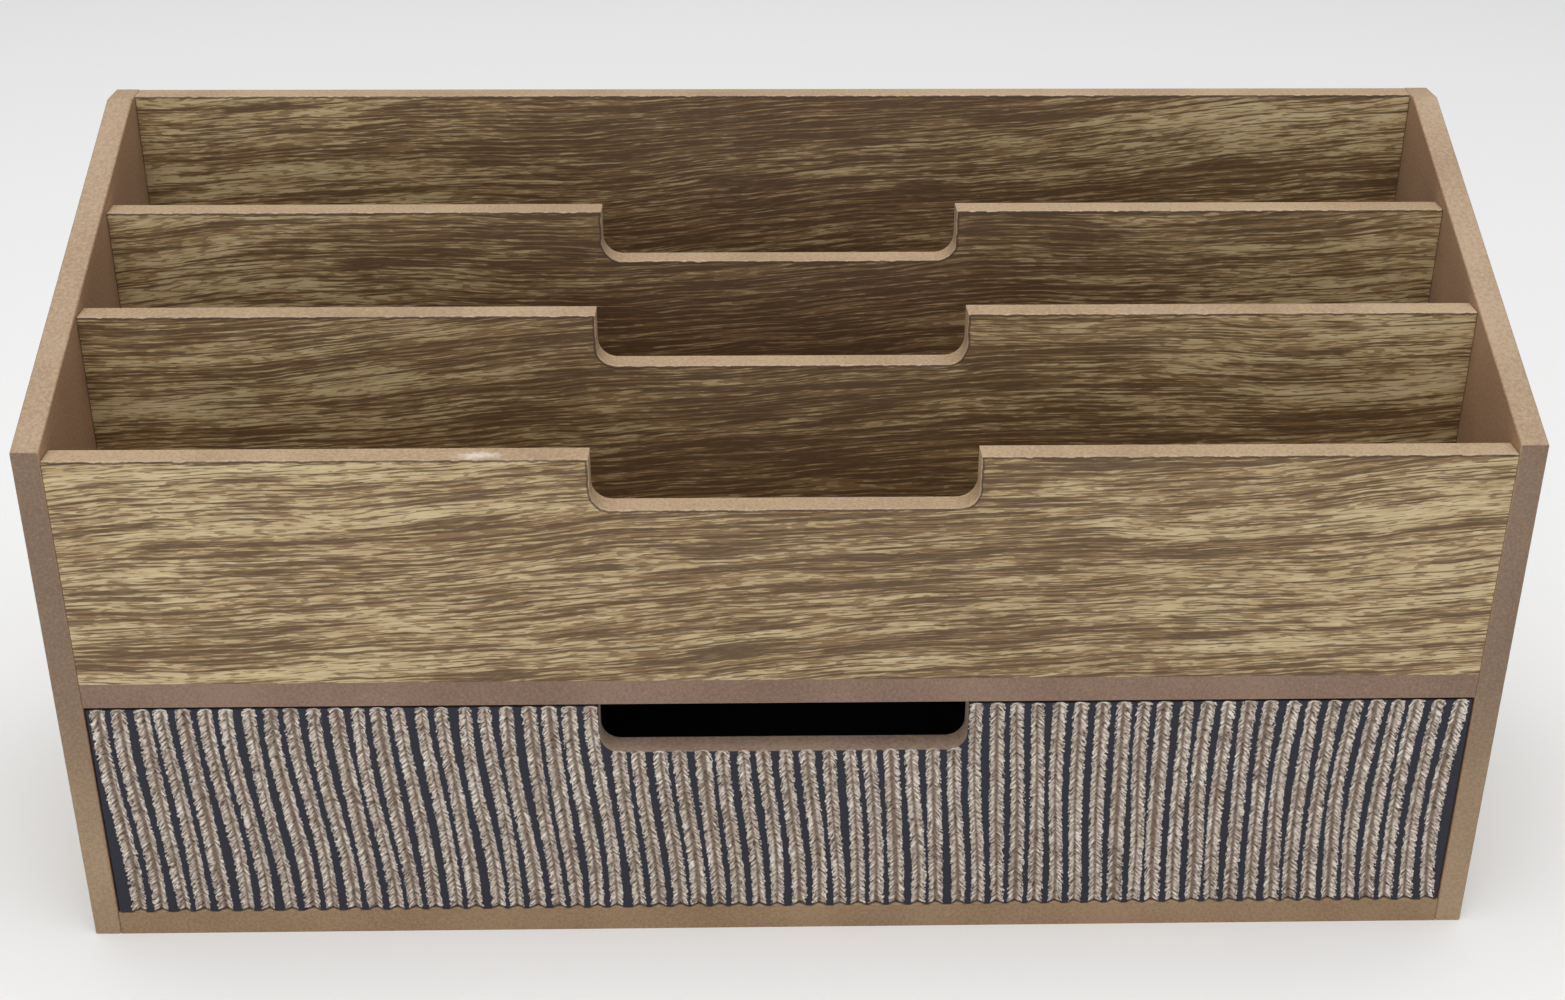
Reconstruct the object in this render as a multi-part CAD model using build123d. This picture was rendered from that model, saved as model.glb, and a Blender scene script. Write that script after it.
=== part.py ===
"""Desk envelope sorter with a drawer, in fibreboard.

Two sides with a sloped top carry a base, a deck, a back and three upright panels that
make three letter slots. Under the deck a shallow drawer slides out to the front. Its
front board is carved with wandering V-shaped flutes from edge to edge.

Frame: origin under the middle of the case, +Z up, the front faces -Y, +X to the right
of someone who faces the front. Millimetres.
"""
from build123d import *
import math
import os
import random

# ---------------------------------------------------------------- case sizes
case_width = 320.0          # over both sides
case_depth = 108.0          # front edges to the back's outer face
back_height = 170.0         # sides and back at the rear
front_height = 124.0        # upright front edge of the sides
top_flat = 8.0              # level stretch behind the slope
board = 6.0                 # case boards and the drawer's four walls
bay_height = 56.0           # clear height of the drawer bay
front_slot = 30.0           # clear depth of the front letter slot
middle_slot = 25.5          # the rear slot takes what is left
front_panel_drop = 2.0      # front panel's top below the sides' front corner
front_divider_drop = 1.0    # below the slope, at the divider's front face
rear_divider_drop = 2.5
glue_line = 0.15            # between a board's end and the side it is nailed to
arris = 0.5                 # eased corner of a cut edge

# ---------------------------------------------------------- finger cut-outs
cutout_width = 82.0
cutout_depth = 12.0
cutout_radius = 4.5         # lower corners

# --------------------------------------------------------------- drawer fit
drawer_end_gap = 0.6        # front board's ends to the case sides
drawer_seat_gap = 0.3       # under the drawer
drawer_top_gap = 0.7        # under the deck
drawer_rear_gap = 2.0       # behind the drawer
drawer_side_inset = 0.4     # drawer sides behind the ends of the front board
rebate_depth = 2.5          # rebate that takes the ends of the drawer sides
bottom_thickness = 3.0      # drawer bottom board
bottom_rise = 4.0           # from the drawer's lower edges to its bottom board
housing_depth = 2.5         # groove that holds the bottom board
housing_play = 0.1          # all round the bottom board in its groove

# ------------------------------------------------------------ carved flutes
flute_pitch = 4.72
flute_width = 3.5           # at the painted face
flute_depth = 1.1
flute_run_in = 1.0          # centre of each flute's round start, below the upper edge
flute_overrun = 1.0         # how far the cutters stand clear of the board
flute_land = 0.2            # least flat left at the ends of the board
flute_graze = 5.9           # from the first flute to one more pass that grazes the end
flute_lean = 4.5            # drift to the right, top to bottom, where it is largest
flute_lean_centre = -90.0   # where along the board the lean is largest
flute_lean_span_left = 90.0     # from there to where the lean has died away
flute_lean_span_right = 225.0
flute_bow = 1.8             # how far the flutes at the right end bow to the left
flute_bow_from = 60.0       # where along the board the bowing starts
flute_bow_span = 90.0       # from there to where it is full
flute_wander = 0.22         # sideways wobble of each flute on its own
flute_swell = 0.06          # share by which a flute's width comes and goes
flute_stray = 0.25          # how far a flute's start strays from even spacing
flute_spread = 0.06         # share by which flutes differ in width and depth
flute_sections = 7          # profiles that each cutter is lofted through
flute_seed = 11

# -------------------------------------------------------------------- brads
brad_length = 20.0
brad_width = 1.25
brad_thickness = 1.0
brad_head_width = 1.9
brad_head_height = 0.7
brad_point = 1.2            # length of the chisel point
brad_margin = 9.0           # from a board's edge to its first brad

# ------------------------------------------------------------ worked places
front_y = -case_depth / 2
back_y = case_depth / 2
inside_x = case_width / 2 - board               # inner face of the sides
inside_back_y = back_y - board                  # inner face of the back
deck_z = board + bay_height                     # underside of the deck
floor_z = deck_z + board                        # floor of the letter slots
panel_half = inside_x - glue_line               # half length of a board between sides

front_divider_y = front_y + board + front_slot
rear_divider_y = front_divider_y + board + middle_slot


def slope_z(y):
    """Height of the sides' sloped top edge at a depth."""
    rise = (back_height - front_height) / (case_depth - top_flat)
    return front_height + (y - front_y) * rise


front_panel_top = front_height - front_panel_drop
front_divider_top = slope_z(front_divider_y) - front_divider_drop
rear_divider_top = slope_z(rear_divider_y) - rear_divider_drop

drawer_half = inside_x - drawer_end_gap         # half length of the drawer front
drawer_z = board + drawer_seat_gap
drawer_top = deck_z - drawer_top_gap
drawer_rear_y = inside_back_y - drawer_rear_gap
wall_outer_x = drawer_half - drawer_side_inset
wall_inner_x = wall_outer_x - board
front_back_y = front_y + board                  # back face of the drawer front
rebate_y = front_back_y - rebate_depth          # where the drawer sides butt
bottom_z = drawer_z + bottom_rise
bottom_top = bottom_z + bottom_thickness


# ------------------------------------------------------------------ helpers
def block(x_range, y_range, z_range):
    """A square-cut board between three pairs of limits."""
    (x0, x1), (y0, y1), (z0, z1) = x_range, y_range, z_range
    centre = Pos((x0 + x1) / 2, (y0 + y1) / 2, (z0 + z1) / 2)
    return centre * Box(x1 - x0, y1 - y0, z1 - z0)


def spread(low, high, count):
    """Evenly spaced places from brad_margin inside one edge to the same at the other."""
    first, last = low + brad_margin, high - brad_margin
    return [first + (last - first) * i / (count - 1) for i in range(count)]


# -------------------------------------------------------------------- brads
def brad_along_x(flat_axis):
    """One brad with its head at the origin, driven towards +X, wide along flat_axis."""
    head, shank = brad_head_width / 2, brad_width / 2
    neck_x, point_x = brad_head_height, brad_length - brad_point
    outline = [
        (0, -head), (neck_x, -head), (neck_x, -shank), (point_x, -shank),
        (brad_length, 0),
        (point_x, shank), (neck_x, shank), (neck_x, head), (0, head),
    ]
    plane = Plane.XY if flat_axis == "Y" else Plane.XZ
    return extrude(plane * Polygon(*outline, align=None), brad_thickness / 2, both=True)


def brads_through_sides(outer_x, places, flat_axis):
    """Brads driven inwards through both sides, heads flush, at (y, z) places."""
    right_going = brad_along_x(flat_axis)
    left_going = mirror(right_going, Plane.YZ)
    return ([Pos(-outer_x, y, z) * right_going for y, z in places]
            + [Pos(outer_x, y, z) * left_going for y, z in places])


def level_board_brads(z_middle):
    """Two brads in each end of a level board, spaced along its depth."""
    return brads_through_sides(
        case_width / 2, [(y, z_middle) for y in spread(front_y, inside_back_y, 2)], "Y")


def upright_board_brads(y_front, z_low, z_high, count):
    """Brads in each end of an upright board, spaced along its height."""
    y_middle = y_front + board / 2
    return brads_through_sides(
        case_width / 2, [(y_middle, z) for z in spread(z_low, z_high, count)], "Z")


def drawer_corner_brads():
    """Two brads through each drawer side into the end of the drawer's back board."""
    y_middle = drawer_rear_y - board / 2
    return brads_through_sides(
        wall_outer_x, [(y_middle, z) for z in spread(bottom_top, drawer_top, 2)], "Z")


# -------------------------------------------------------------- case boards
def case_side(hand):
    """Side board: sloped top, short level flat at the back, eased all round."""
    outline = Polygon(
        (front_y, 0), (back_y, 0), (back_y, back_height),
        (back_y - top_flat, back_height), (front_y, front_height), align=None)
    side = extrude(Plane.YZ * outline, board / 2, both=True)
    rims = [edge for face in side.faces().filter_by(Axis.X) for edge in face.edges()]
    side = fillet(rims, min(arris, board / 4))
    return Pos(hand * (case_width - board) / 2, 0, 0) * side


def level_board(z_low):
    """Base or deck, between the sides and in front of the back."""
    return block((-panel_half, panel_half), (front_y, inside_back_y), (z_low, z_low + board))


def cutout_outline(half, z_low, z_high):
    """Front view of a board with the finger cut-out in the middle of its top edge."""
    sheet = Plane.XZ * Polygon(
        (-half, z_low), (half, z_low), (half, z_high), (-half, z_high), align=None)
    bite = Plane.XZ * Polygon(
        (-cutout_width / 2, z_high - cutout_depth), (cutout_width / 2, z_high - cutout_depth),
        (cutout_width / 2, z_high + cutout_depth), (-cutout_width / 2, z_high + cutout_depth),
        align=None)
    lower_corners = bite.vertices().sort_by(Axis.Z)[:2]
    return sheet - fillet(lower_corners, min(cutout_radius, cutout_depth - arris))


def notched_board(half, y_front, z_low, z_high):
    """Upright board with a finger cut-out, square edges."""
    solid = extrude(cutout_outline(half, z_low, z_high), -board)
    return Pos(0, y_front, 0) * solid


def slot_panel(y_front, z_high):
    """Front panel or divider: stands on the deck, top edge and cut-out eased."""
    panel = notched_board(panel_half, y_front, floor_z, z_high)
    faces = panel.faces().filter_by(Axis.Y).sort_by(Axis.Y)
    rims = [edge for face in (faces[0], faces[-1]) for edge in face.edges()
            if edge.center().Z > floor_z + arris and abs(edge.center().X) < panel_half - arris]
    return fillet(rims, min(arris, board / 4))


def back_board():
    """Full-height back between the sides, its top edge eased."""
    back = block((-panel_half, panel_half), (inside_back_y, back_y), (0, back_height))
    rims = back.faces().sort_by(Axis.Z)[-1].edges().filter_by(Axis.X)
    return fillet(rims, min(arris, board / 4))


# ------------------------------------------------------------ carved flutes
def flute_shift(x_top, t, phase):
    """How far a flute has drifted sideways at t, 0 at its top and 1 at its foot."""
    reach = x_top - flute_lean_centre
    reach /= flute_lean_span_right if reach > 0 else flute_lean_span_left
    lean = flute_lean * math.cos(math.pi / 2 * max(-1.0, min(1.0, reach)))
    bow = flute_bow * max(0.0, min(1.0, (x_top - flute_bow_from) / flute_bow_span))
    return (lean * t * t * (3 - 2 * t) - bow * math.sin(math.pi * t)
            + flute_wander * math.sin(2 * math.pi * t + phase))


def upper_edge_z(x):
    """Height of the drawer front's upper edge, where the finger cut-out dips it."""
    past_corner = abs(x) - (cutout_width / 2 - cutout_radius)
    if past_corner > cutout_radius:
        return drawer_top
    corner_rise = cutout_radius - math.sqrt(cutout_radius ** 2 - max(0.0, past_corner) ** 2)
    return drawer_top - cutout_depth + corner_rise


def flute_cutter(x_top, phase, fullness):
    """The space one flute's V bit sweeps: its half cone at the start, then its path."""
    z_start = upper_edge_z(x_top) - flute_run_in
    z_end = drawer_z - flute_overrun
    profiles = []
    for step in range(flute_sections):
        z = z_start + (z_end - z_start) * step / (flute_sections - 1)
        t = (drawer_top - z) / (drawer_top - drawer_z)
        x = x_top + flute_shift(x_top, t, phase)
        swell = fullness * (1 + flute_swell * math.sin(3 * t + 2 * phase))
        depth = flute_depth * swell
        half = flute_width / 2 * swell * (depth + flute_overrun) / depth
        profiles.append(Plane.XY.offset(z) * Polygon(
            (x - half, front_y - flute_overrun), (x + half, front_y - flute_overrun),
            (x, front_y + depth), align=None))
        if step == 0:
            bit = Pos(x, front_y - flute_overrun, z) * Rot(X=-90) * Cone(
                half, 0, depth + flute_overrun, align=(Align.CENTER, Align.CENTER, Align.MIN))
    above = block((x_top - flute_pitch, x_top + flute_pitch),
                  (front_y - 2 * flute_overrun, front_y + board),
                  (z_start, z_start + flute_width))
    return [loft(profiles), bit & above]


def flute_starts():
    """Where each flute starts, its phase and its fullness, from left to right.

    The first one starts past the left end and only grazes the board lower down."""
    wobble = random.Random(flute_seed)
    room = 2 * (drawer_half - flute_land) - flute_width
    count = int(room / flute_pitch) + 1
    first = -(count - 1) * flute_pitch / 2
    even = [first - flute_graze] + [first + i * flute_pitch for i in range(count)]
    return [(x_top + wobble.uniform(-flute_stray, flute_stray),
             wobble.uniform(0, 2 * math.pi),
             1 + wobble.uniform(-flute_spread, flute_spread))
            for x_top in even]


def flute_cutters():
    """The cutters of all the flutes."""
    return [cutter for start in flute_starts() for cutter in flute_cutter(*start)]


# ------------------------------------------------------------ drawer boards
def bottom_housing():
    """The groove round the inside of the drawer that holds its bottom board."""
    return block((-wall_inner_x - housing_depth, wall_inner_x + housing_depth),
                 (front_back_y - housing_depth, drawer_rear_y),
                 (bottom_z - housing_play, bottom_top + housing_play))


def carved_front():
    """Drawer front: finger cut-out, rebated ends, housing groove and the carved face."""
    front = notched_board(drawer_half, front_y, drawer_z, drawer_top)
    for hand in (-1, 1):
        inner, outer = sorted((hand * wall_inner_x, hand * (drawer_half + 1)))
        front -= block((inner, outer), (rebate_y, front_back_y + 1),
                       (drawer_z - 1, drawer_top + 1))
    front -= bottom_housing()
    return front - flute_cutters()


def drawer_side(hand):
    """Drawer side: from the rebate in the front to the drawer's rear, grooved inside."""
    inner, outer = sorted((hand * wall_inner_x, hand * wall_outer_x))
    side = block((inner, outer), (rebate_y, drawer_rear_y), (drawer_z, drawer_top))
    groove_in, groove_out = sorted((hand * (wall_inner_x - 1),
                                    hand * (wall_inner_x + housing_depth)))
    return side - block((groove_in, groove_out), (rebate_y - 1, drawer_rear_y + 1),
                        (bottom_z - housing_play, bottom_top + housing_play))


def drawer_back_board():
    """Drawer back, between the sides and flush with their ends, grooved in front."""
    y_front = drawer_rear_y - board
    back = block((-wall_inner_x, wall_inner_x), (y_front, drawer_rear_y),
                 (drawer_z, drawer_top))
    return back - block((-wall_inner_x - 1, wall_inner_x + 1),
                        (y_front - 1, y_front + housing_depth),
                        (bottom_z - housing_play, bottom_top + housing_play))


def drawer_bottom_board():
    """Thin bottom board, held in the groove on all four walls."""
    edge = housing_depth - housing_play
    return block((-wall_inner_x - edge, wall_inner_x + edge),
                 (front_back_y - edge, drawer_rear_y - board + edge),
                 (bottom_z, bottom_top))


# ----------------------------------------------------------------- assembly
def case_nodes():
    """The case: each board with its nail holes, and the brads joint by joint."""
    brads = {
        "base_brads": level_board_brads(board / 2),
        "deck_brads": level_board_brads(deck_z + board / 2),
        "front_panel_brads": upright_board_brads(front_y, floor_z, front_panel_top, 2),
        "front_divider_brads": upright_board_brads(
            front_divider_y, floor_z, front_divider_top, 3),
        "rear_divider_brads": upright_board_brads(
            rear_divider_y, floor_z, rear_divider_top, 3),
        "back_panel_brads": upright_board_brads(inside_back_y, 0, back_height, 4),
    }
    every_brad = [brad for group in brads.values() for brad in group]
    nodes = {
        "left_side": case_side(-1) - every_brad,
        "right_side": case_side(1) - every_brad,
        "base_panel": level_board(0) - brads["base_brads"],
        "deck_panel": level_board(deck_z) - brads["deck_brads"],
        "front_panel": slot_panel(front_y, front_panel_top) - brads["front_panel_brads"],
        "front_divider": (slot_panel(front_divider_y, front_divider_top)
                          - brads["front_divider_brads"]),
        "rear_divider": (slot_panel(rear_divider_y, rear_divider_top)
                         - brads["rear_divider_brads"]),
        "back_panel": back_board() - brads["back_panel_brads"],
    }
    return nodes | brads


def drawer_nodes():
    """The drawer: front glued over its sides, back nailed between them, loose bottom."""
    brads = drawer_corner_brads()
    return {
        "drawer_front": carved_front(),
        "drawer_left_side": drawer_side(-1) - brads,
        "drawer_right_side": drawer_side(1) - brads,
        "drawer_back": drawer_back_board() - brads,
        "drawer_bottom": drawer_bottom_board(),
        "drawer_back_brads": brads,
    }


os.makedirs("parts", exist_ok=True)
for name, shape in (case_nodes() | drawer_nodes()).items():
    solids = shape if isinstance(shape, list) else [shape]
    export_step(Compound(children=solids), f"parts/{name}.step")
    print(name, "solids", len(solids), "volume", round(sum(s.volume for s in solids)))
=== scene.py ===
# %% [markdown]
# # Envelope sorter with a drawer
#
# The sorter is a small case of fibreboard: two sides with a sloped top carry a base, a
# deck, a back and three upright panels, and under the deck runs a shallow drawer. The
# shapes of the boards come from the CAD model, which is loaded as a fixed frame. This
# script gives every board its finish, carves the front of the drawer in fine detail,
# and sets up the floor, the light and the camera.

# %% Load the CAD frame
import math
import random

import bpy
import numpy as np
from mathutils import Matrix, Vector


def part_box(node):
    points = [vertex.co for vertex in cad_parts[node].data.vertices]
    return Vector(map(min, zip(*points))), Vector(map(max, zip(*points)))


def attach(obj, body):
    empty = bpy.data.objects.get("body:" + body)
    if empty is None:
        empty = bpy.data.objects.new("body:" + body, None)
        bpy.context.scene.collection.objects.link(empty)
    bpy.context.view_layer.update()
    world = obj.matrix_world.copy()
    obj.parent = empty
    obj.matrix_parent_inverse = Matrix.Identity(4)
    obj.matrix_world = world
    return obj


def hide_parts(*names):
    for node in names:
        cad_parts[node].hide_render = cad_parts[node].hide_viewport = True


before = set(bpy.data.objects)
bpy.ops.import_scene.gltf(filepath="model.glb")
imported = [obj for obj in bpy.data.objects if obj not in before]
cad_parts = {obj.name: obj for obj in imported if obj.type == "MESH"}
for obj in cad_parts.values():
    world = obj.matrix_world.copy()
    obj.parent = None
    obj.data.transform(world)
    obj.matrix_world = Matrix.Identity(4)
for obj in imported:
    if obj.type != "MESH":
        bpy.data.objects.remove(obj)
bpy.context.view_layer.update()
print("nodes:", ", ".join(sorted(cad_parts)))

# %% [markdown]
# The CAD model is in metres here, with the origin under the middle of the case, +Z up
# and the front facing -Y. Wood grain and carving are easier to think of in millimetres,
# so sizes are kept in millimetres and scaled once where a mesh is made.

# %% Sizes read from the frame
MM = 0.001


def box_mm(node):
    """Lowest and highest corner of a CAD node, in millimetres."""
    low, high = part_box(node)
    return [round(v / MM, 3) for v in low], [round(v / MM, 3) for v in high]


(case_left, case_front, _), (_, case_back, case_top) = box_mm("left_side")
case_half = -case_left
board = box_mm("base_panel")[1][2]
drawer_low, drawer_high = box_mm("drawer_front")
drawer_half = drawer_high[0]
drawer_z, drawer_top = drawer_low[2], drawer_high[2]
print("case half width", case_half, "board", board, "drawer", drawer_low, drawer_high)

# %% [markdown]
# ## Shader helpers
#
# Every finish is procedural. A pattern reads Object coordinates, so it stays with the
# board in every pose. A few small helpers keep the node trees short: one adds a node
# and links or sets its inputs, one does a sum, one draws a noise out along the grain.

# %% Helpers for building node trees


def shade(red, green, blue):
    """A screen colour, 0 to 255, as the linear values shaders use."""
    def linear(value):
        value /= 255
        return value / 12.92 if value <= 0.04045 else ((value + 0.055) / 1.055) ** 2.4
    return (linear(red), linear(green), linear(blue), 1.0)


def add_node(tree, kind, inputs=None, **settings):
    """Adds a node; an input that is a socket is linked, a plain value is set."""
    made = tree.nodes.new(kind)
    for name, value in settings.items():
        setattr(made, name, value)
    for key, value in (inputs or {}).items():
        if isinstance(value, bpy.types.NodeSocket):
            tree.links.new(value, made.inputs[key])
        else:
            made.inputs[key].default_value = value
    return made


def calc(tree, operation, *values):
    """One step of arithmetic between sockets and numbers."""
    step = add_node(tree, "ShaderNodeMath", dict(enumerate(values)), operation=operation)
    return step.outputs[0]


def soft_step(tree, value, start, end):
    """0 below start, 1 above end, smooth between; start may be the larger one."""
    step = add_node(tree, "ShaderNodeMapRange",
                    {"Value": value, "From Min": start, "From Max": end},
                    interpolation_type="SMOOTHSTEP")
    return step.outputs[0]


def blend(tree, share, first, second, blend_type="MIX"):
    """Colour between first and second by share."""
    mixed = add_node(tree, "ShaderNodeMix", {0: share, 6: first, 7: second},
                     data_type="RGBA", blend_type=blend_type)
    return mixed.outputs[2]


def place_mm(tree):
    """X, Y and Z on the object, in millimetres."""
    where = add_node(tree, "ShaderNodeTexCoord").outputs["Object"]
    scaled = add_node(tree, "ShaderNodeVectorMath",
                      {0: where, 1: (1 / MM,) * 3}, operation="MULTIPLY")
    return add_node(tree, "ShaderNodeSeparateXYZ", {0: scaled.outputs[0]}).outputs


def streaks(tree, along, across, length, width, detail=2.0, seed=0.0, roughness=0.5):
    """Noise from 0 to 1 whose marks are about length by width millimetres."""
    where = add_node(tree, "ShaderNodeCombineXYZ", {
        0: calc(tree, "DIVIDE", along, length),
        1: calc(tree, "DIVIDE", across, width), 2: seed})
    noise = add_node(tree, "ShaderNodeTexNoise", {
        "Vector": where.outputs[0], "Scale": 1.0, "Detail": detail,
        "Roughness": roughness})
    return noise.outputs["Fac"]


def speckle(tree, spot, detail=2.0):
    """Even noise in all directions, with spots of about spot millimetres."""
    where = add_node(tree, "ShaderNodeTexCoord").outputs["Object"]
    noise = add_node(tree, "ShaderNodeTexNoise", {
        "Vector": where, "Scale": 1 / (spot * MM), "Detail": detail})
    return noise.outputs["Fac"]


def colour_ramp(tree, value, stops):
    """Colours by value: stops are (place from 0 to 1, colour)."""
    ramp = add_node(tree, "ShaderNodeValToRGB", {0: value})
    points = ramp.color_ramp.elements
    while len(points) < len(stops):
        points.new(1.0)
    for point, (place, colour) in zip(points, stops):
        point.position, point.color = place, colour
    return ramp.outputs[0]


print("shader helpers are ready")

# %% [markdown]
# Each finish starts as an empty material and ends by feeding the shader its colour. The
# relief of fibres and print is far too fine to model, so it is a bump. A CAD board keeps
# its mesh and only takes a finish.

# %% Helpers for finishes
BUMP_STRENGTH = 0.6


def new_finish(name, roughness):
    """An empty material with its shader; roughness is the same all over."""
    finish = bpy.data.materials.new(name)
    finish.use_nodes = True
    shader = finish.node_tree.nodes["Principled BSDF"]
    shader.inputs["Roughness"].default_value = roughness
    return finish, finish.node_tree, shader


def connect(tree, shader, colour, height, relief=0.05):
    """Feeds the shader its colour, and a bump of about relief millimetres."""
    tree.links.new(colour, shader.inputs["Base Color"])
    bump = add_node(tree, "ShaderNodeBump", {
        "Height": height, "Strength": BUMP_STRENGTH, "Distance": relief * MM})
    tree.links.new(bump.outputs[0], shader.inputs["Normal"])


def give_finish(node, finish):
    """Gives a CAD board one finish all over."""
    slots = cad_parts[node].data.materials
    slots.clear()
    slots.append(finish)


print("finish helpers are ready")

# %% [markdown]
# ## Bare fibreboard
#
# Where a board was sawn or sanded its core shows: pressed wood fibre, light tan with a
# fine mottle and no grain. The edges that face the front are a greyer brown than the
# freshly eased top edges: partly sawn, handled fibre, and partly painted shade for the
# light from above, which falls less on faces that look to the front. The colour is a
# blend over two noises, fibres of a fraction of a millimetre and slow clouds of some
# centimetres.

# %% Bare fibreboard colours
CORE_LIGHT = shade(196, 170, 139)
CORE_DARK = shade(168, 140, 110)
# a light and a dark tone for each edge that faces the front, darker partly as painted
# shade
SAWN_SHADED = (shade(150, 124, 106), shade(128, 102, 85))              # deck, a pinkish brown
SAWN_SHADED_BASE = (shade(165, 137, 107), shade(141, 114, 86))         # base, a yellower brown
SAWN_SHADED_SIDE_TOP = (shade(146, 121, 101), shade(123, 100, 81))     # sides above the deck
SAWN_SHADED_SIDE_FOOT = (shade(175, 149, 120), shade(151, 126, 98))    # sides near the table
FIBRE_SPOT, CLOUD_SPOT = 0.7, 28.0      # how large the two mottles are, millimetres
SAWN_SHADE_FADE = (0.45, 0.15)    # depths behind the front where the sawn brown, partly painted shade, comes in


def core_colour(tree, light=CORE_LIGHT, dark=CORE_DARK):
    """Colour and fine relief of the bare core."""
    fibres = speckle(tree, FIBRE_SPOT, detail=3.0)
    clouds = speckle(tree, CLOUD_SPOT)
    mixed = calc(tree, "MULTIPLY_ADD", fibres, 0.75, calc(tree, "MULTIPLY", clouds, 0.5))
    colour = blend(tree, soft_step(tree, mixed, 0.40, 0.82), dark, light)
    return colour, fibres


def front_sawn_shade(tree, y, colour, sawn_and_shaded):
    """Swaps the light core for the browner sawn edge, partly painted shade, on what faces
    the front.
    """
    ragged = calc(tree, "MULTIPLY_ADD", speckle(tree, 1.3), 0.3, y)
    facing = soft_step(tree, ragged, case_front + SAWN_SHADE_FADE[0], case_front + SAWN_SHADE_FADE[1])
    return blend(tree, facing, colour, sawn_and_shaded)


def bare_finish(name, sawn_shade_pair, light=CORE_LIGHT, dark=CORE_DARK):
    """Finish for boards with no print: core, browner on the front edge, partly as painted
    shade.
    """
    finish, tree, shader = new_finish(name, 0.85)
    _, y, _ = place_mm(tree)
    colour, fibres = core_colour(tree, light, dark)
    sawn_and_shaded, _ = core_colour(tree, *sawn_shade_pair)
    connect(tree, shader, front_sawn_shade(tree, y, colour, sawn_and_shaded), fibres)
    return finish


for node, sawn_shade_pair in (("base_panel", SAWN_SHADED_BASE), ("deck_panel", SAWN_SHADED)):
    give_finish(node, bare_finish(node + "_core", sawn_shade_pair))
print("bare boards: base_panel, deck_panel")

# %% [markdown]
# ## Printed wood grain
#
# The faces of the panels carry a matt wood grain print, a common trick on such boxes.
# Seen close, it is a pale olive tan crossed by thousands of short dark strokes, most of
# them finer than a millimetre. Where bands and patches of darker wood pass, the strokes
# crowd and the ground browns. All layers share one height that sweeps gently up to the
# right, so they bend together, as real grain does.

# %% The print's colours and marks
GROUND_PALE = shade(222, 204, 162)
GROUND_TAN = shade(200, 176, 132)
GROUND_BROWN = shade(163, 132, 90)
STROKE_BROWN = shade(122, 88, 53)
STROKE_DARK = shade(86, 60, 34)
MIDDLE_TINT = shade(178, 166, 150)

GRAIN_TILT = -0.055         # rise of the grain to the right, as a slope
RIPPLE_HEIGHT = 2.6         # millimetres
MIDDLE_SPAN = 100.0          # half width of the darker middle, millimetres
MIDDLE_CROWDING, MIDDLE_DARKENING = 0.34, 0.42    # what a full darker middle adds to each
MOST_CROWDED = -0.17        # how full crowding shifts the noise level that prints
STROKE_EDGE = 0.035         # noise over which a stroke's edge goes from 0 to 1
STROKE_LAYERS = (  # length and width in millimetres, seed, level, share, colour
    (10.0, 1.3, 4.4, 0.64, 0.26, STROKE_BROWN),
    (4.5, 0.52, 5.9, 0.585, 0.68, STROKE_BROWN),
    (26.0, 0.56, 9.2, 0.62, 0.75, STROKE_DARK),
)
print("stroke layers:", len(STROKE_LAYERS))

# %% Wood grain as a function of place


def strokes(tree, along, height, length, width, seed, crowding, level):
    """Crisp dark strokes, 0 or 1; crowding from 0 to 1 says how many there are.

    level is how high the noise has to be for a stroke where crowding is 0."""
    noise = streaks(tree, along, height, length, width, 1.5, seed, 0.55)
    needed = calc(tree, "MULTIPLY_ADD", crowding, MOST_CROWDED, level)
    return soft_step(tree, calc(tree, "SUBTRACT", noise, needed), 0.0, STROKE_EDGE)


def grain_height(tree, along, across, seed, sweep_height):
    """Height across the grain, bent by a slow sweep and a quicker ripple."""
    sweep = streaks(tree, along, across, 150.0, 70.0, 1.0, seed + 0.3)
    ripple = streaks(tree, along, across, 30.0, 11.0, 2.0, seed + 7.1)
    height = calc(tree, "MULTIPLY_ADD", along, GRAIN_TILT, across)
    height = calc(tree, "MULTIPLY_ADD", sweep, sweep_height, height)
    return calc(tree, "MULTIPLY_ADD", ripple, RIPPLE_HEIGHT, height)


def middle_share(tree, along, middle_place):
    """1 in the darker middle of a board, falling off to both sides."""
    offset = calc(tree, "DIVIDE", calc(tree, "SUBTRACT", along, middle_place), MIDDLE_SPAN)
    squared = calc(tree, "MULTIPLY", offset, offset)
    return calc(tree, "EXPONENT", calc(tree, "MULTIPLY", squared, -1.0))


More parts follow.
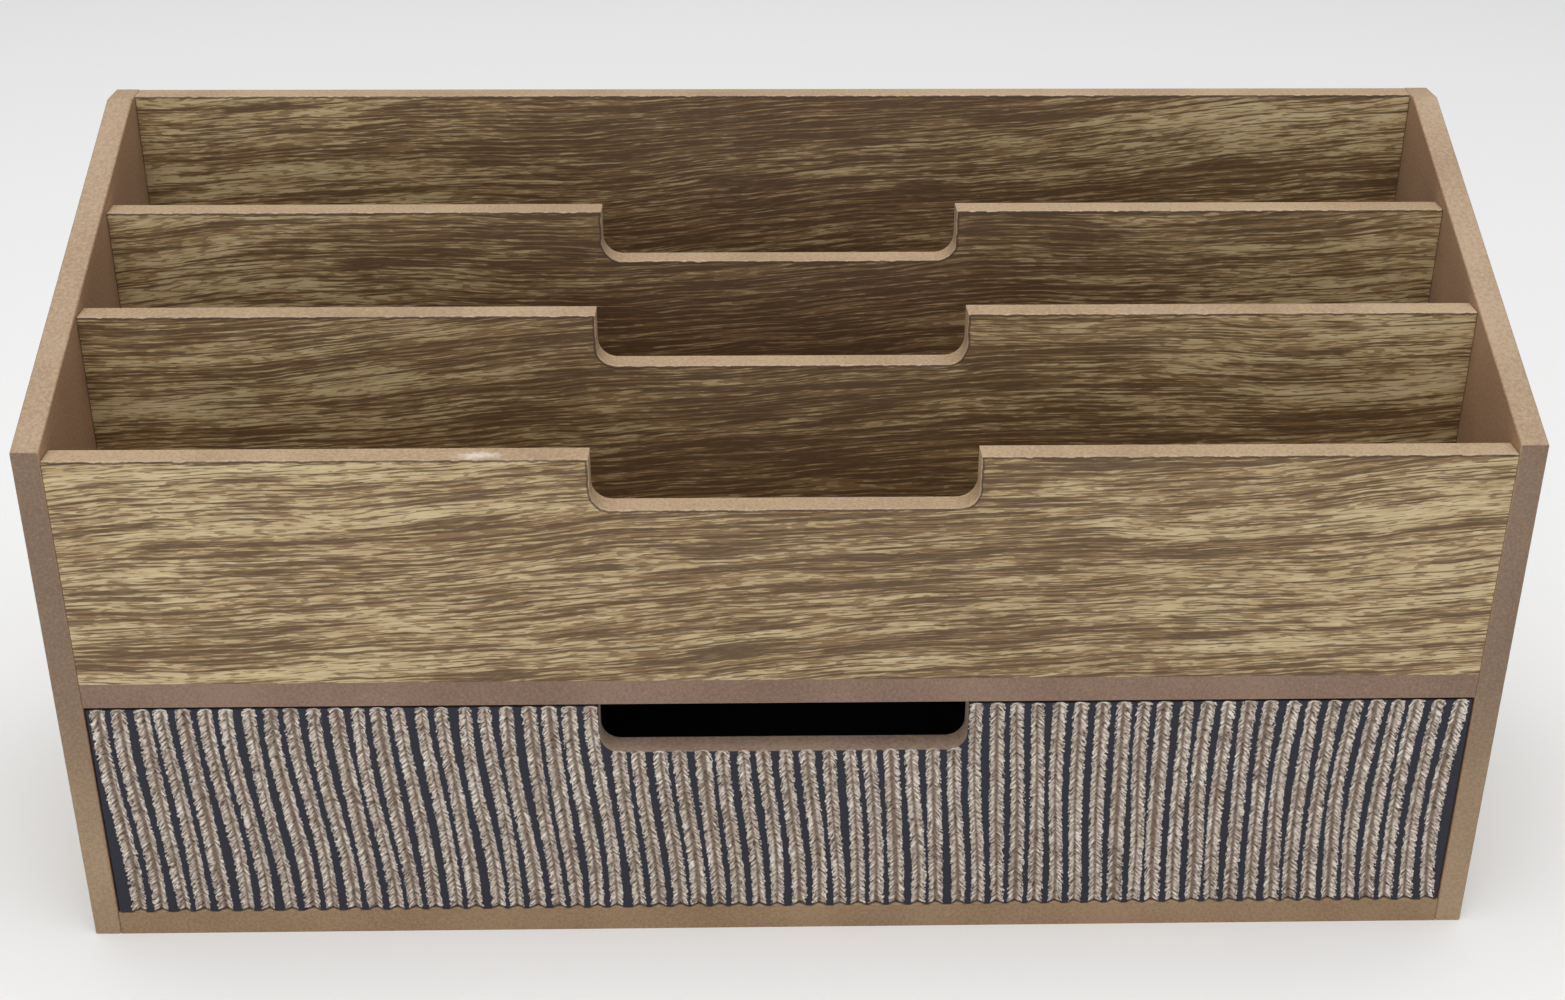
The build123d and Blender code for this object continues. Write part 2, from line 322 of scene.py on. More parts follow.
def grain_colour(tree, along, across, seed, darker_middle, middle_place=0.0,
                 sweep_height=16.0):
    """The print: colour by place along and across the grain, both in millimetres."""
    height = grain_height(tree, along, across, seed, sweep_height)

    # where the darker wood passes: bands and patches, and a darker middle
    bands = streaks(tree, along, height, 260.0, 6.5, 1.5, seed + 1.7)
    patches = streaks(tree, along, height, 24.0, 2.6, 2.5, seed + 3.3, 0.6)
    middle = middle_share(tree, along, middle_place)
    crowding = calc(tree, "MULTIPLY_ADD", bands, 0.9,
                    calc(tree, "MULTIPLY", patches, 1.1))
    crowding = calc(tree, "MULTIPLY_ADD", middle, darker_middle * MIDDLE_CROWDING, crowding)
    crowding = soft_step(tree, crowding, 0.70, 1.40)

    # the ground, with faint fibres, then the strokes over it
    fibres = streaks(tree, along, height, 9.0, 0.70, 2.5, seed + 11.0, 0.65)
    ground = calc(tree, "MULTIPLY_ADD", fibres, 0.85,
                  calc(tree, "MULTIPLY", crowding, 0.24))
    colour = colour_ramp(tree, ground, [
        (0.28, GROUND_PALE), (0.52, GROUND_TAN), (0.80, GROUND_BROWN)])
    for length, width, layer_seed, level, share, ink in STROKE_LAYERS:
        layer = strokes(tree, along, height, length, width, seed + layer_seed,
                        crowding, level)
        colour = blend(tree, calc(tree, "MULTIPLY", layer, share), colour, ink)
    # the middle darkens; on the panels inside the slots the larger share is partly
    # painted shade
    tinted = blend(tree, 1.0, colour, MIDDLE_TINT, "MULTIPLY")
    shaded = calc(tree, "MULTIPLY", middle, darker_middle * MIDDLE_DARKENING)
    return blend(tree, shaded, colour, tinted)


print("grain layers: ground, then broad, short and long strokes")

# %% [markdown]
# The print ends just short of every eased edge, where sanding chipped it back to an
# irregular dark line with the bare core past it. The distance to the board's outline is
# worked out in the shader: the top edge is a level, and the finger cut-out is a box
# with rounded corners.

# %% Chipped rims
CUTOUT_WIDTH, CUTOUT_DEPTH, CUTOUT_RADIUS = 82.0, 12.0, 4.5
CHIP_LINE = shade(74, 54, 38)
CHIP_SPOT = 2.2             # millimetres, as are the fades below
LINE_FADE = (0.75, 0.50)    # distances from the outline where the dark line comes in
BARE_FADE = (0.22, 0.10)    # and where it gives way to the bare core
PRINT_FADE = (0.12, 0.22)   # depths behind the face where the print ends


def distance_to_outline(tree, x, z, top):
    """How far a place on a panel is from its top edge or its cut-out, millimetres."""
    beside = calc(tree, "SUBTRACT", calc(tree, "ABSOLUTE", x),
                  CUTOUT_WIDTH / 2 - CUTOUT_RADIUS)
    below = calc(tree, "SUBTRACT", top - CUTOUT_DEPTH + CUTOUT_RADIUS, z)
    corner = calc(tree, "SQRT", calc(
        tree, "ADD",
        calc(tree, "POWER", calc(tree, "MAXIMUM", beside, 0.0), 2.0),
        calc(tree, "POWER", calc(tree, "MAXIMUM", below, 0.0), 2.0)))
    inside = calc(tree, "MINIMUM", calc(tree, "MAXIMUM", beside, below), 0.0)
    from_cutout = calc(tree, "SUBTRACT", calc(tree, "ADD", corner, inside), CUTOUT_RADIUS)
    return calc(tree, "MINIMUM", from_cutout, calc(tree, "SUBTRACT", top, z))


def print_over_core(tree, depth, from_edge, grain, core):
    """The print on the face, a dark chipped rim, and the bare core past it.

    depth is how far behind the printed face a place is, from_edge how far from the
    board's outline, both in millimetres."""
    chips = calc(tree, "SUBTRACT", speckle(tree, CHIP_SPOT, 3.0), 0.5)
    ragged = calc(tree, "ADD", from_edge, chips)
    line = calc(tree, "MULTIPLY", soft_step(tree, ragged, *LINE_FADE), 0.8)
    rim = blend(tree, line, grain, CHIP_LINE)
    past = calc(tree, "MAXIMUM", soft_step(tree, ragged, *BARE_FADE),
                soft_step(tree, depth, *PRINT_FADE))
    return blend(tree, past, rim, core)


print("cut-out", CUTOUT_WIDTH, "x", CUTOUT_DEPTH, "mm, radius", CUTOUT_RADIUS)

# %% [markdown]
# One spot on the front panel's top edge is rubbed nearly white. It is an oval by its
# distance from a centre, and a noise added to that distance breaks its outline.

# %% Rubbed spot
SCUFF_X, SCUFF_BACK = -64.0, 2.0            # its centre, from the middle and the face
SCUFF_LENGTH, SCUFF_WIDTH = 13.0, 4.5
SCUFF_PALE = shade(244, 232, 218)


def pale_scuff(tree, x, y, colour, face_y):
    """The rubbed spot over the colour of a top edge."""
    along = calc(tree, "DIVIDE", calc(tree, "SUBTRACT", x, SCUFF_X), SCUFF_LENGTH / 2)
    across = calc(tree, "DIVIDE", calc(tree, "SUBTRACT", y, face_y + SCUFF_BACK),
                  SCUFF_WIDTH / 2)
    away = calc(tree, "SQRT", calc(tree, "ADD", calc(tree, "POWER", along, 2.0),
                                   calc(tree, "POWER", across, 2.0)))
    away = calc(tree, "MULTIPLY_ADD", speckle(tree, 1.5, 3.0), 1.2, away)
    rubbed = calc(tree, "MULTIPLY", soft_step(tree, away, 1.6, 0.7), 0.7)
    return blend(tree, rubbed, colour, SCUFF_PALE)


print("rubbed spot", SCUFF_LENGTH, "mm long at x", SCUFF_X)

# %% [markdown]
# The four upright panels share one finish. Each gets its own seed, so no two carry the
# same grain, and its own share of a darker middle: the front panel is the palest, and
# the panels behind it are darker in the middle. On these panels inside the slots the
# larger share is partly painted shade, standing in for the shade that falls in the slots.

# %% Finish of the printed panels


def panel_finish(node, seed, darker_middle, middle_place):
    """Finish of an upright panel that is printed on its front face."""
    finish, tree, shader = new_finish(node + "_print", 0.6)
    (_, face_y, _), (_, _, top) = box_mm(node)
    x, y, z = place_mm(tree)
    core, fibres = core_colour(tree)
    if node == "front_panel":
        core = pale_scuff(tree, x, y, core, face_y)
    grain = grain_colour(tree, x, z, seed, darker_middle, middle_place)
    depth = calc(tree, "SUBTRACT", y, face_y)
    if node == "back_panel":        # the one with no cut-out
        from_edge = calc(tree, "SUBTRACT", top, z)
    else:
        from_edge = distance_to_outline(tree, x, z, top)
    colour = print_over_core(tree, depth, from_edge, grain, core)
    connect(tree, shader, colour, fibres, 0.02)
    return finish


PANELS = {  # node: (seed of its grain, how dark its middle is, where); panels inside the slots get more, partly as painted shade
    "front_panel": (2.0, 0.45, 40.0),
    "front_divider": (13.0, 0.9, 0.0),
    "rear_divider": (29.0, 1.3, 10.0),
    "back_panel": (41.0, 1.0, 5.0),
}
for node, (seed, darker_middle, middle_place) in PANELS.items():
    give_finish(node, panel_finish(node, seed, darker_middle, middle_place))
    print(node, "is printed, top at z", box_mm(node)[1][2])

# %% [markdown]
# ## The sides
#
# The outer faces of the sides can't be seen in the photograph, and are taken to carry
# the same print. Their inner faces are bare, as the photograph shows, and so are the cut
# edges all round. The front edge is a darker brown at the top than at the foot.

# %% Sides
EDGE_PAIR = (shade(187, 162, 134), shade(161, 134, 106))
INNER_PAIR = (shade(184, 150, 120), shade(160, 126, 98))
SLOPE_START = 124.0         # height of the sides' front corner
SLOPE_LENGTH = 100.0        # along the depth, to the level stretch at the back
FOOT_FADE = (20.0, 80.0)    # heights between which the front edge darkens
INNER_FADE = (0.30, 0.12)   # short of the inner face, where its bare brown comes in
SIDE_SEED, SIDE_DARKER_MIDDLE, SIDE_SWEEP = 57.0, 0.3, 6.0


def side_outline(tree, y, z):
    """Distance to the nearest of front edge, rear edge, slope and level top."""
    rise = (case_top - SLOPE_START) / SLOPE_LENGTH
    slope_z = calc(tree, "MULTIPLY_ADD", y, rise, SLOPE_START - case_front * rise)
    under_slope = calc(tree, "MULTIPLY", calc(tree, "SUBTRACT", slope_z, z),
                       1 / math.hypot(1, rise))
    nearest = calc(tree, "MINIMUM", calc(tree, "SUBTRACT", y, case_front),
                   calc(tree, "SUBTRACT", case_back, y))
    nearest = calc(tree, "MINIMUM", nearest, under_slope)
    return calc(tree, "MINIMUM", nearest, calc(tree, "SUBTRACT", case_top, z))


def side_finish(name):
    """Printed outside, bare brown inside, light on the edges."""
    finish, tree, shader = new_finish(name, 0.7)
    x, y, z = place_mm(tree)
    depth = calc(tree, "SUBTRACT", case_half, calc(tree, "ABSOLUTE", x))
    edge, fibres = core_colour(tree, *EDGE_PAIR)
    # the front edge's browner tone is partly sawn fibre and partly painted shade
    foot_sawn_and_shaded, _ = core_colour(tree, *SAWN_SHADED_SIDE_FOOT)
    top_sawn_and_shaded, _ = core_colour(tree, *SAWN_SHADED_SIDE_TOP)
    sawn_and_shaded = blend(tree, soft_step(tree, z, *FOOT_FADE), foot_sawn_and_shaded, top_sawn_and_shaded)
    edge = front_sawn_shade(tree, y, edge, sawn_and_shaded)
    inner, _ = core_colour(tree, *INNER_PAIR)
    reached = soft_step(tree, depth, board - INNER_FADE[0], board - INNER_FADE[1])
    core = blend(tree, reached, edge, inner)
    grain = grain_colour(tree, y, z, SIDE_SEED, SIDE_DARKER_MIDDLE, sweep_height=SIDE_SWEEP)
    colour = print_over_core(tree, depth, side_outline(tree, y, z), grain, core)
    connect(tree, shader, colour, fibres, 0.02)
    return finish


for node in ("left_side", "right_side"):
    give_finish(node, side_finish(node + "_board"))
print("sides finished")

# %% [markdown]
# ## Black drawer and steel brads
#
# Through the cut-out the drawer is nearly black, so its boards are taken to be painted
# matt black all over. The brads are plain wire, and only their flush heads show in the
# sides.

# %% Drawer boards and brads


def paint_finish(name):
    """Thin matt black paint with a slight bluish cast over fibreboard."""
    finish, tree, shader = new_finish(name, 0.55)
    fibres = speckle(tree, 0.6, detail=3.0)
    colour = blend(tree, fibres, shade(46, 47, 56), shade(68, 69, 79))
    connect(tree, shader, colour, fibres, 0.02)
    return finish


black_paint = paint_finish("black_paint")
for node in ("drawer_left_side", "drawer_right_side", "drawer_back", "drawer_bottom"):
    give_finish(node, black_paint)

brad_steel, _, steel_shader = new_finish("brad_steel", 0.42)
steel_shader.inputs["Metallic"].default_value = 1.0
steel_shader.inputs["Base Color"].default_value = shade(172, 168, 162)
brads = [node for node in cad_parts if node.endswith("_brads")]
for node in brads:
    give_finish(node, brad_steel)
print("drawer boards painted, groups of brads:", len(brads))

# %% [markdown]
# ## The carved drawer front
#
# The drawer front is the piece that makes this sorter. A board painted black is carved
# with a V-shaped bit in sixty-five wandering flutes, and each cut opens the pale core.
# Between the flutes narrow lands of paint are left. The bit tears the fibres as it goes
# down, so the paint's edge is ragged and the flanks carry feathered strokes.
#
# A flat grid is the best start, because its columns can be laid along the flutes: nine
# columns to a flute put an edge on each rim and one in the valley, and a row every
# 0.4 mm leaves room for torn rims. The operators for hand modelling can't move nearly
# eighty thousand points each by its own amount, so this step sets the grid's points in
# code.

# %% Where each flute runs
FLUTE_PITCH, FLUTE_WIDTH, FLUTE_DEPTH = 4.72, 3.5, 1.1
FLUTE_LAND = 0.2            # flat kept at each end when the flutes are counted
FLUTE_GRAZE = 5.9           # from the first flute to one more pass that grazes the end
FLUTE_RUN_IN = 1.0          # centre of the round start, below the upper edge
LEAN, LEAN_CENTRE, LEAN_SPAN_LEFT, LEAN_SPAN_RIGHT = 4.5, -90.0, 90.0, 225.0
BOW, BOW_FROM, BOW_SPAN = 1.8, 60.0, 90.0       # the right end's flutes bow to the left
WANDER, SWELL, SEED = 0.22, 0.06, 11
STRAY, SPREAD = 0.25, 0.06  # of each flute's start, and of its width and depth

room = 2 * (drawer_half - FLUTE_LAND) - FLUTE_WIDTH
whole_flutes = int(room / FLUTE_PITCH) + 1
first_start = -(whole_flutes - 1) * FLUTE_PITCH / 2
even_starts = [first_start - FLUTE_GRAZE]
even_starts += [first_start + i * FLUTE_PITCH for i in range(whole_flutes)]
wobble = random.Random(SEED)
flutes = [(x_top + wobble.uniform(-STRAY, STRAY), wobble.uniform(0, 2 * math.pi),
           1 + wobble.uniform(-SPREAD, SPREAD)) for x_top in even_starts]
del flutes[0]               # the grazing pass only brushes the end, so it gets no columns


def flute_middle(x_top, phase, fall):
    """Where a flute's valley is; fall is 0 at the board's top edge and 1 at its foot."""
    reach = x_top - LEAN_CENTRE
    reach /= LEAN_SPAN_RIGHT if reach > 0 else LEAN_SPAN_LEFT
    lean = LEAN * math.cos(math.pi / 2 * max(-1.0, min(1.0, reach)))
    bow = BOW * max(0.0, min(1.0, (x_top - BOW_FROM) / BOW_SPAN))
    return (x_top + lean * fall * fall * (3 - 2 * fall) - bow * np.sin(math.pi * fall)
            + WANDER * np.sin(2 * math.pi * fall + phase))


def upper_edge(x):
    """Height of the board's upper edge, where the finger cut-out dips it."""
    past_corner = abs(x) - (CUTOUT_WIDTH / 2 - CUTOUT_RADIUS)
    if past_corner > CUTOUT_RADIUS:
        return drawer_top
    rise = CUTOUT_RADIUS - math.sqrt(CUTOUT_RADIUS ** 2 - max(0.0, past_corner) ** 2)
    return drawer_top - CUTOUT_DEPTH + rise


print(len(flutes), "flutes, first at", round(flutes[0][0], 2), "mm")

# %% Lay a grid along the flutes
COLUMNS = (-1.0, -0.75, -0.5, -0.25, 0.0, 0.25, 0.5, 0.75, 1.0)
ROWS = 134

bpy.ops.object.select_all(action="DESELECT")
bpy.ops.mesh.primitive_grid_add(
    x_subdivisions=len(COLUMNS) * len(flutes) + 1, y_subdivisions=ROWS, size=1.0,
    location=(0, case_front * MM, (drawer_top + drawer_z) / 2 * MM),
    rotation=(math.pi / 2, 0, 0))
carved_front = bpy.context.object
carved_front.name = "carved_drawer_front"
carved_front.scale = (2 * drawer_half * MM, (drawer_top - drawer_z) * MM, 1)
bpy.ops.object.transform_apply(location=True, rotation=True, scale=True)

mesh = carved_front.data
flat = np.empty(len(mesh.vertices) * 3)
mesh.vertices.foreach_get("co", flat)
points = flat.reshape(-1, 3) / MM
heights = np.sort(np.unique(points[:, 2].round(5)))[::-1]        # top row first
order = np.lexsort((points[:, 0].round(5), -points[:, 2].round(5)))
print("grid of", len(heights), "rows and", len(points) // len(heights), "columns")

# %% Press the flutes into the grid
HAIR = 0.004                # keeps columns from coinciding
LEAST_LAND = 0.1            # between the torn rims of neighbours
END_LAND = 0.05             # least paint left at the ends of the board
RIM_TEAR = 0.15             # how far rims are torn
BARB, BARB_FROM = 0.06, 0.15    # how high barbs stand, and the depth they start at
BARB_SLANT = 1.1            # how far a barb falls between the valley and the rim
BARB_PITCH, BARB_DRIFT, BARB_DRIFT_LENGTH = 1.15, 3.0, 3.7
FUZZ = 0.02                 # unevenness of the torn flanks
torn = np.random.default_rng(SEED)
fall = (drawer_top - heights) / (drawer_top - drawer_z)
x_grid = np.empty((len(heights), len(points) // len(heights)))
depth_grid = np.zeros_like(x_grid)
x_grid[:, 0], x_grid[:, -1] = -drawer_half, drawer_half

for i, (x_top, phase, fullness) in enumerate(flutes):
    middle = flute_middle(x_top, phase, fall)
    swell = fullness * (1 + SWELL * np.sin(3 * fall + 2 * phase))
    half, deepest = FLUTE_WIDTH / 2 * swell, FLUTE_DEPTH * swell
    past_start = np.maximum(0.0, heights - (upper_edge(x_top) - FLUTE_RUN_IN))
    for j, across in enumerate(COLUMNS):
        column = 1 + i * len(COLUMNS) + j
        rim = abs(across) == 1.0
        tear = np.clip(torn.normal(0.0, RIM_TEAR, len(fall)), -2 * RIM_TEAR, 2 * RIM_TEAR)
        x = middle + across * half + (tear if rim else 0.0)
        x = np.clip(x, -drawer_half + END_LAND, drawer_half - END_LAND)
        if j == 0 and i > 0:
            x = np.maximum(x, x_grid[:, column - 1] + LEAST_LAND)
        if j == 1:
            x = np.maximum(x, x_grid[:, column - 1] + HAIR)
        x_grid[:, column] = x
        cut = deepest * (1 - np.hypot(x - middle, past_start) / half)
        # barbs fall from the valley outwards, like those of a feather
        stroke = heights + BARB_SLANT * abs(across)
        drift = BARB_DRIFT * np.sin(stroke / BARB_DRIFT_LENGTH + phase)
        barbs = BARB * np.sin(2 * math.pi * stroke / BARB_PITCH + drift)
        barbs += torn.normal(0.0, FUZZ, len(fall))
        flank = np.where(cut > BARB_FROM, cut + barbs, np.maximum(cut, 0.0))
        depth_grid[:, column] = 0.0 if rim else flank

points[order, 0] = x_grid.ravel()
points[order, 1] = case_front + depth_grid.ravel()
mesh.vertices.foreach_set("co", (points * MM).ravel())
mesh.update()
steps = np.diff(x_grid, axis=1)
print("carved face:", len(mesh.polygons), "faces; narrowest column",
      round(steps.min(), 4))

# %% [markdown]
# The carved skin becomes a board by pulling its border straight back by one board
# thickness and closing the back. Where a flute runs off the lower edge, the border is
# already notched, so the board's foot shows the row of V ends that a real one has.

# %% Give the carved skin its thickness
back_y = case_front + board

bpy.ops.object.mode_set(mode="EDIT")
bpy.ops.mesh.select_mode(type="EDGE")
bpy.ops.mesh.select_all(action="DESELECT")
bpy.ops.mesh.select_non_manifold()
bpy.ops.mesh.extrude_edges_move(TRANSFORM_OT_translate={"value": (0, board * MM, 0)})
bpy.ops.transform.resize(value=(1, 0, 1), center_override=(0, back_y * MM, 0))
bpy.ops.mesh.edge_face_add()
bpy.ops.mesh.select_all(action="SELECT")
bpy.ops.mesh.normals_make_consistent(inside=False)
bpy.ops.object.mode_set(mode="OBJECT")
print("board closed:", len(mesh.polygons), "faces")

# %% [markdown]
# Three finishes meet on this board: carved paint in front, black paint behind and on
# the outer edges, and bare core where the cut-out was sawn after painting. Each face
# takes its slot by where it is or looks. The cutters used below bring the core or the
# paint with them.

# %% Finish of the carved face
CARVED_CORE = (  # the torn core, from its shadows to its lightest fibres
    (0.50, shade(92, 76, 66)), (0.66, shade(168, 151, 137)),
    (0.80, shade(212, 197, 182)), (0.98, shade(248, 242, 233)))
# the valley colour is painted shade in the bottom of each flute, the pale rim colour a
# painted highlight along its upper edges
VALLEY_SHADE, RIM_HIGHLIGHT, GASH = shade(122, 98, 80), shade(240, 232, 224), shade(58, 46, 42)
FOOT_SHADOW = shade(46, 36, 34)
FOOT_SHADOW_BAND = (0.60, 0.40)      # heights above the foot where the painted shadow comes in
LAND_PAINT = (shade(22, 22, 34), shade(40, 40, 57))
PAINT_FLAT = 0.03               # depth that the paint always reaches down to


def carved_finish():
    """Paint on the flat lands; where the bit went in, torn pale core."""
    finish, tree, shader = new_finish("carved_face", 0.72)
    x, y, z = place_mm(tree)
    depth = calc(tree, "SUBTRACT", y, case_front)
    # strokes run down and outwards from the valley: height drops as the cut gets shallow
    stroke = calc(tree, "MULTIPLY_ADD", depth, -BARB_SLANT / FLUTE_DEPTH, z)
    barbs = streaks(tree, x, stroke, 1.8, 0.60, 1.5, 3.0, 0.6)
    tears = streaks(tree, x, stroke, 1.0, 0.65, 1.5, 8.0)
    clouds = speckle(tree, 7.0)
    fibre = calc(tree, "MULTIPLY_ADD", clouds, 0.30, calc(tree, "MULTIPLY", barbs, 1.25))
    core = colour_ramp(tree, fibre, CARVED_CORE)
    share = calc(tree, "DIVIDE", depth, FLUTE_DEPTH)
    # painted shade: the deepest part of each flute takes the darker valley colour
    valley_shade = soft_step(tree, calc(tree, "MULTIPLY_ADD", tears, 0.15, share), 0.68, 1.00)
    core = blend(tree, calc(tree, "MULTIPLY", valley_shade, 0.85), core, VALLEY_SHADE)
    # painted highlight: the shallow part of each flank, next to the paint, turns pale
    rim = soft_step(tree, calc(tree, "MULTIPLY_ADD", barbs, 0.3, share), 0.42, 0.24)
    core = blend(tree, calc(tree, "MULTIPLY", rim, 0.35), core, RIM_HIGHLIGHT)
    gash = soft_step(tree, tears, 0.555, 0.64)
    core = blend(tree, calc(tree, "MULTIPLY", gash, 0.8), core, GASH)
    # painted shadow: the ends of the flutes at the board's foot are darkened, standing in
    # for the shade in the gap over the base
    foot_shadow = soft_step(tree, calc(tree, "MULTIPLY_ADD", tears, 0.3, z),
                     drawer_z + FOOT_SHADOW_BAND[0], drawer_z + FOOT_SHADOW_BAND[1])
    core = blend(tree, calc(tree, "MULTIPLY", foot_shadow, 0.85), core, FOOT_SHADOW)
    paint = blend(tree, speckle(tree, 0.5, 3.0), *LAND_PAINT)
    # the paint's ragged edge, never quite up to the flat of the land
    paint_end = calc(tree, "MAXIMUM", calc(tree, "MULTIPLY_ADD", tears, -1.8, 0.97),
                     PAINT_FLAT)
    past_paint = calc(tree, "SUBTRACT", depth, paint_end)
    colour = blend(tree, soft_step(tree, past_paint, 0.0, 0.04), paint, core)
    relief = calc(tree, "MULTIPLY_ADD", tears, -0.6, barbs)
    connect(tree, shader, colour, relief, 0.25)
    return finish


carved_face = carved_finish()
# the cut-out's walls are bare core, browner where they face the front, partly as painted
# shade
sawn_edge = bare_finish("sawn_edge", SAWN_SHADED, shade(176, 153, 136), shade(144, 122, 106))
BOARD_FINISHES = (carved_face, sawn_edge, black_paint)
CARVED, SAWN_CORE, PAINTED = range(3)       # slots, in the order of the line above
for finish in BOARD_FINISHES:
    mesh.materials.append(finish)
for face in mesh.polygons:
    on_back = face.center.y / MM > back_y - 0.01
    on_outer_edge = abs(face.normal.y) < 0.01
    face.material_index = PAINTED if on_back or on_outer_edge else CARVED
print("faces by finish:",
      [sum(face.material_index == slot for face in mesh.polygons) for slot in range(3)])

# %% [markdown]
# The finger cut-out, the two rebates for the drawer's sides and the groove for its
# bottom are cut away with block cutters, each a cube set to size. A cutter reaches past
# the board wherever its cut is open, so that no two faces lie in one plane.

# %% Helpers for cutting
PAST = 2.0                  # how far a cutter reaches out of the board, millimetres


def cutter_block(low, high, slot):
    """A cube between two corners, in millimetres, with its finish set."""
    bpy.ops.object.select_all(action="DESELECT")
    size = [(b - a) * MM for a, b in zip(low, high)]
    centre = [(a + b) / 2 * MM for a, b in zip(low, high)]
    bpy.ops.mesh.primitive_cube_add(size=1, location=centre)
    cutter = bpy.context.object
    cutter.scale = size
    bpy.ops.object.transform_apply(location=True, rotation=True, scale=True)
    for finish in BOARD_FINISHES:
        cutter.data.materials.append(finish)
    for face in cutter.data.polygons:
        face.material_index = slot
    return cutter


def cut_away(board_object, cutter):
    """Cuts the cutter's shape out of the board and removes the cutter."""
    bpy.ops.object.select_all(action="DESELECT")
    bpy.context.view_layer.objects.active = board_object
    board_object.select_set(True)
    boolean = board_object.modifiers.new("cut", "BOOLEAN")
    boolean.operation, boolean.solver, boolean.object = "DIFFERENCE", "EXACT", cutter
    bpy.ops.object.modifier_apply(modifier=boolean.name)
    bpy.data.objects.remove(cutter)


print("cutters reach", PAST, "mm past the board")

# %% [markdown]
# The cut-out's cutter is a block whose two lower edges along the depth are bevelled
# round. The edges are picked by their place: both ends low, and both at the same x.

# %% Finger cut-out
NEAR = 0.1                  # how close counts as the same place, millimetres
cutout_floor = drawer_top - CUTOUT_DEPTH
bite = cutter_block((-CUTOUT_WIDTH / 2, case_front - PAST, cutout_floor),
                    (CUTOUT_WIDTH / 2, back_y + PAST, drawer_top + 3 * PAST), SAWN_CORE)
bpy.ops.object.mode_set(mode="EDIT")
bpy.ops.mesh.select_mode(type="EDGE")
bpy.ops.mesh.select_all(action="DESELECT")
bpy.ops.object.mode_set(mode="OBJECT")
for edge in bite.data.edges:
    ends = [bite.data.vertices[v].co / MM for v in edge.vertices]
    low_edge = all(end.z < cutout_floor + NEAR for end in ends)
    edge.select = low_edge and abs(ends[0].x - ends[1].x) < NEAR
bpy.ops.object.mode_set(mode="EDIT")
bpy.ops.mesh.bevel(offset=CUTOUT_RADIUS * MM, segments=12)
bpy.ops.object.mode_set(mode="OBJECT")
for face in bite.data.polygons:
    face.material_index = SAWN_CORE
cut_away(carved_front, bite)
print("with its cut-out:", len(carved_front.data.polygons), "faces")

# %% [markdown]
# The rebates and the groove take their places from the boards that sit in them. The
# groove is a little larger than the bottom board, which has to slip in.

# %% Rebates and groove
GROOVE_PLAY = 0.1
wall_inner = -box_mm("drawer_left_side")[1][0]
rebate_y = box_mm("drawer_left_side")[0][1]
(_, groove_y, groove_z), (groove_half, _, groove_top) = box_mm("drawer_bottom")

for hand in (-1, 1):
    low_x, high_x = sorted((hand * wall_inner, hand * (drawer_half + PAST)))
    cut_away(carved_front, cutter_block(
        (low_x, rebate_y, drawer_z - PAST),
        (high_x, back_y + PAST, drawer_top + PAST), PAINTED))
cut_away(carved_front, cutter_block(
    (-groove_half - GROOVE_PLAY, groove_y - GROOVE_PLAY, groove_z - GROOVE_PLAY),
    (groove_half + GROOVE_PLAY, back_y + PAST, groove_top + GROOVE_PLAY), PAINTED))
print("after the cuts:", len(carved_front.data.polygons), "faces")

# %% [markdown]
# The piece rides on the drawer and stands in for the plainer CAD node, which keeps its
# place in the collision model. Its facets stay flat: torn fibreboard has no smooth skin.

# %% Put the carved front on the drawer
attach(carved_front, "drawer")
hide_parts("drawer_front")
corners = [v.co / MM for v in carved_front.data.vertices]
print("carved front from", np.min(corners, axis=0).round(2), "to",
      np.max(corners, axis=0).round(2), "- CAD:", drawer_low, drawer_high)

# %% [markdown]
# ## Floor, light and camera
#
# The sorter stands on a plain pale floor under soft studio light: a wide panel above
# and a little in front makes the top edges the brightest faces, a weaker one fills the
# front, and an even sky keeps the slots from going black.

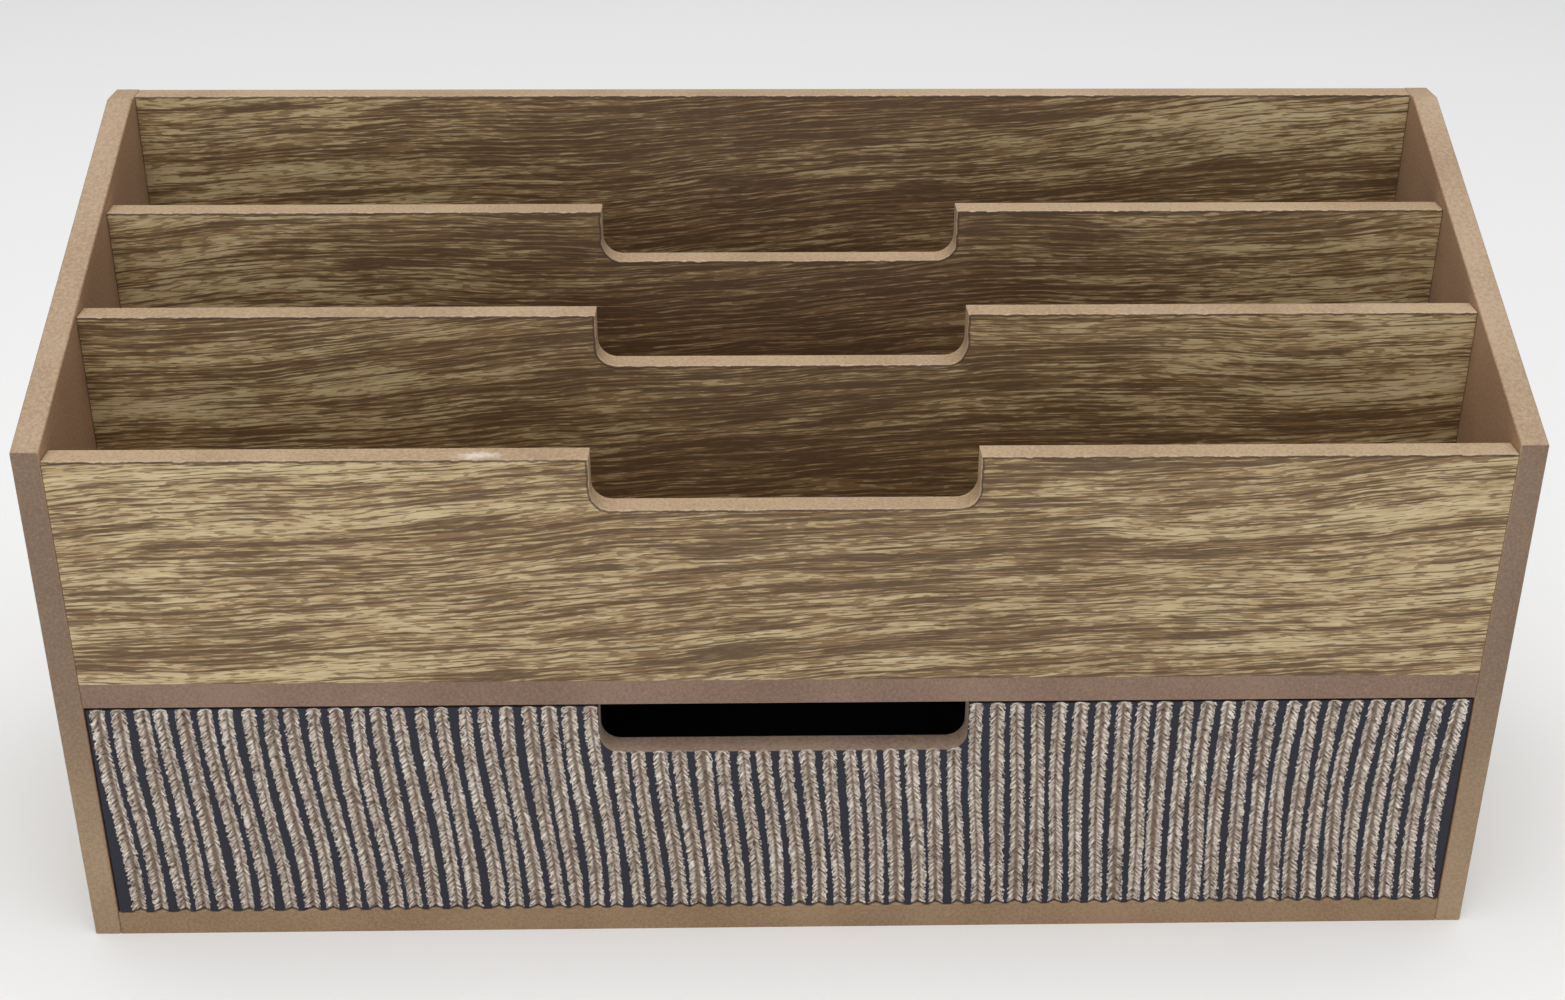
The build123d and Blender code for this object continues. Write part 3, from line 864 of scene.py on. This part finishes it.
# %% Floor
FLOOR_SIZE = 12             # metres
bpy.ops.object.select_all(action="DESELECT")
bpy.ops.mesh.primitive_plane_add(size=FLOOR_SIZE, location=(0, 0, 0))
floor = bpy.context.object
floor.name = "floor"
floor_finish, _, floor_shader = new_finish("pale_floor", 0.9)
floor_shader.inputs["Base Color"].default_value = (0.97, 0.97, 0.97, 1)
floor.data.materials.append(floor_finish)
print("floor laid")

# %% Studio light
SKY_STRENGTH = 0.25


def light_panel(name, place, aim, width, power):
    """A square soft light that faces a point; places are in metres."""
    bpy.ops.object.light_add(type="AREA", location=place)
    light = bpy.context.object
    light.name = name
    light.data.shape = "SQUARE"
    light.data.size = width
    light.data.energy = power
    direction = [a - p for a, p in zip(aim, place)]
    light.rotation_euler = (
        math.atan2(math.hypot(direction[0], direction[1]), -direction[2]), 0,
        math.atan2(-direction[0], direction[1]))


light_panel("top_panel", (0.0, -0.30, 2.2), (0, 0, 0.05), width=2.8, power=50.0)
light_panel("front_panel_light", (-0.5, -1.8, 0.9), (0, 0, 0.08), width=1.4, power=6.0)
sky = bpy.data.worlds.new("studio_sky")
sky.use_nodes = True
sky.node_tree.nodes["Background"].inputs["Color"].default_value = (1, 1, 1, 1)
sky.node_tree.nodes["Background"].inputs["Strength"].default_value = SKY_STRENGTH
bpy.context.scene.world = sky
bpy.context.scene.view_settings.view_transform = "Standard"

# %% [markdown]
# The camera stands where the photograph was taken from: in front, a little left of the
# middle, looking down by about 27 degrees. Its place was found by fitting the corners
# of the boards in the picture.

# %% Camera
CAMERA_PLACE = (-10.144, -442.561, 309.287)      # millimetres
CAMERA_DOWN, CAMERA_TURN, CAMERA_ROLL = 26.883, 1.409, 0.310    # degrees
CAMERA_LENS, CAMERA_SENSOR = 47.72, 36.0         # millimetres

down, turn = math.radians(CAMERA_DOWN), math.radians(CAMERA_TURN)
bpy.ops.object.camera_add(location=[v * MM for v in CAMERA_PLACE])
camera = bpy.context.object
camera.name = "camera"
camera.rotation_euler = (math.pi / 2 - down, 0, -turn)
camera.rotation_euler.rotate_axis("Z", math.radians(CAMERA_ROLL))
camera.data.sensor_width = CAMERA_SENSOR
camera.data.lens = CAMERA_LENS
camera.data.clip_start = 0.01
bpy.context.scene.camera = camera
print("camera lens", CAMERA_LENS, "mm")
